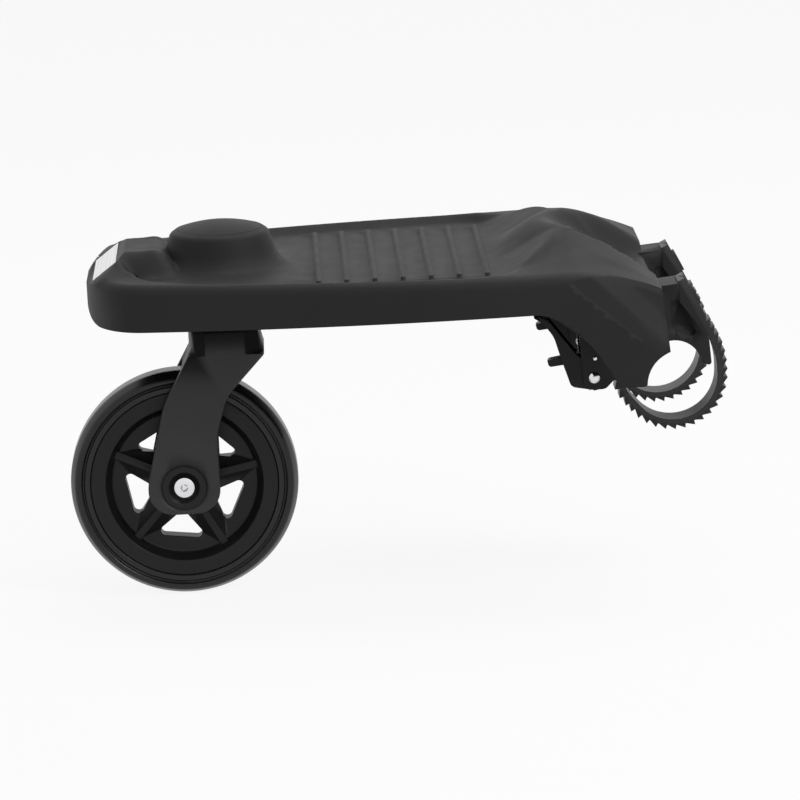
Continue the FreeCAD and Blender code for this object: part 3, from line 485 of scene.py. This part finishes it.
def pawl_spring():
    """Both torsion springs as wound wire, on the line and in the width of the plain sleeves."""
    wire_radius = 0.00042
    wire_sides = 10
    coil_length = 0.004
    turns = 4
    steps = 24 * turns
    low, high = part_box("pawl_springs")
    pin_x = (low.x + high.x) / 2
    pin_z = (low.z + high.z) / 2
    coil_radius = (high.x - low.x) / 2 - wire_radius
    climb = (coil_length - 2 * wire_radius) / steps
    shape = bmesh.new()
    for start in (low.y + wire_radius, high.y - coil_length + wire_radius):
        wire_start = Matrix.Translation((pin_x + coil_radius, start, pin_z))
        ring = bmesh.ops.create_circle(shape, segments=wire_sides, radius=wire_radius,
                                       matrix=wire_start)["verts"]
        edges = {edge for vert in ring for edge in vert.link_edges}
        bmesh.ops.spin(shape, geom=ring + list(edges), cent=(pin_x, start, pin_z),
                       axis=(0, 1, 0), dvec=(0, climb, 0), angle=math.tau * turns, steps=steps)
    open_ends = [edge for edge in shape.edges if edge.is_boundary]
    bmesh.ops.holes_fill(shape, edges=open_ends, sides=0)
    bmesh.ops.recalc_face_normals(shape, faces=shape.faces)
    piece = finished_piece(shape, "pawl_spring_wire", spring_finish)
    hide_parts("pawl_springs")
    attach(piece, "board")


pawl_spring()


# Floor
# A pale matt studio floor that the wheel stands on. The camera and bright metal see it as nearly
# white, and it keeps a soft shadow.

def background_rays(finish):
    """1 on a ray that shows the background: the camera's, one off metal or one through glass."""
    seen = 0.0
    for ray in ("Is Camera Ray", "Is Glossy Ray", "Is Transmission Ray"):
        path = finish.node("ShaderNodeLightPath", output=ray)
        seen = path.maths("MAXIMUM", path, seen)
    return seen


floor_size = 24.0
floor_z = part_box("tyre")[0].z
white_share = 0.9
floor_finish = Finish("floor", Base_Color=(0.88, 0.88, 0.88, 1), Roughness=0.9,
                      Specular_IOR_Level=0.1)
painted = Wire(floor_finish, floor_finish.shader.outputs[0])
white = floor_finish.node("ShaderNodeEmission", inputs={"Strength": 1.0})
mixed = floor_finish.node("ShaderNodeMixShader", inputs={
    0: background_rays(floor_finish) * white_share, 1: painted, 2: white})
floor_output = floor_finish.tree.nodes["Material Output"]
floor_finish.tree.links.new(mixed.socket, floor_output.inputs["Surface"])

floor_shape = bmesh.new()
bmesh.ops.create_grid(floor_shape, x_segments=1, y_segments=1, size=floor_size / 2,
                      matrix=Matrix.Translation((0, 0, floor_z)))
floor = finished_piece(floor_shape, "floor", floor_finish.material)


# Light
# A wide round softbox overhead, a smaller one on the camera's side and a white surround.
# The surround lights the board weakly, and is seen as plain white.

def softbox(name, place, aim, size, watts):
    lamp = bpy.data.lights.new(name, "AREA")
    lamp.shape = "DISK"
    lamp.size = size
    lamp.energy = watts
    lamp_object = bpy.data.objects.new(name, lamp)
    lamp_object.location = place
    direction = Vector(aim) - Vector(place)
    lamp_object.rotation_euler = direction.to_track_quat("-Z", "Y").to_euler()
    bpy.context.scene.collection.objects.link(lamp_object)


class Surround(Finish):
    """The world round the board, wired in the way that a finish is."""

    def __init__(self, name, colour):
        self.world = bpy.data.worlds.new(name)
        self.world.use_nodes = True
        self.tree = self.world.node_tree
        self.shader = self.tree.nodes["Background"]
        self.shader.inputs["Color"].default_value = colour


board_middle = (-0.19, 0.0, 0.0)
softbox("top_softbox", place=(0.25, 0.30, 1.8), aim=board_middle, size=1.5, watts=15.0)
softbox("front_softbox", place=(1.3, -1.4, 1.6), aim=board_middle, size=0.8, watts=22.0)

light_strength, seen_strength = 0.38, 1.0
surround = Surround("surround", colour=(1, 1, 1, 1))
bpy.context.scene.world = surround.world
surround.feed("Strength", background_rays(surround) * (seen_strength - light_strength)
              + light_strength)
bpy.context.scene.view_settings.view_transform = "Standard"


# Camera
# A long lens on the board's right, a little above it and slightly rolled, as the photograph was
# taken. Its height and roll follow from the ellipses of the wheel.

camera_aim = Vector((-0.1875, 0.0, -0.0301))
camera_distance = 3.2
camera_elevation = math.radians(12.3)
camera_azimuth = math.radians(-1.35)
camera_roll = math.radians(2.65)
sensor_width = 36.0
image_width = 800
focal_pixels = 4550
back = Vector((math.sin(camera_azimuth) * math.cos(camera_elevation),
               -math.cos(camera_azimuth) * math.cos(camera_elevation),
               math.sin(camera_elevation)))
camera_data = bpy.data.cameras.new("camera")
camera_data.sensor_width = sensor_width
camera_data.lens = sensor_width * focal_pixels / image_width
camera = bpy.data.objects.new("camera", camera_data)
camera_turn = (-back).to_track_quat("-Z", "Y").to_matrix().to_4x4()
camera.matrix_world = (Matrix.Translation(camera_aim + back * camera_distance) @ camera_turn
                       @ Matrix.Rotation(-camera_roll, 4, "Z"))
bpy.context.scene.collection.objects.link(camera)
bpy.context.scene.camera = camera
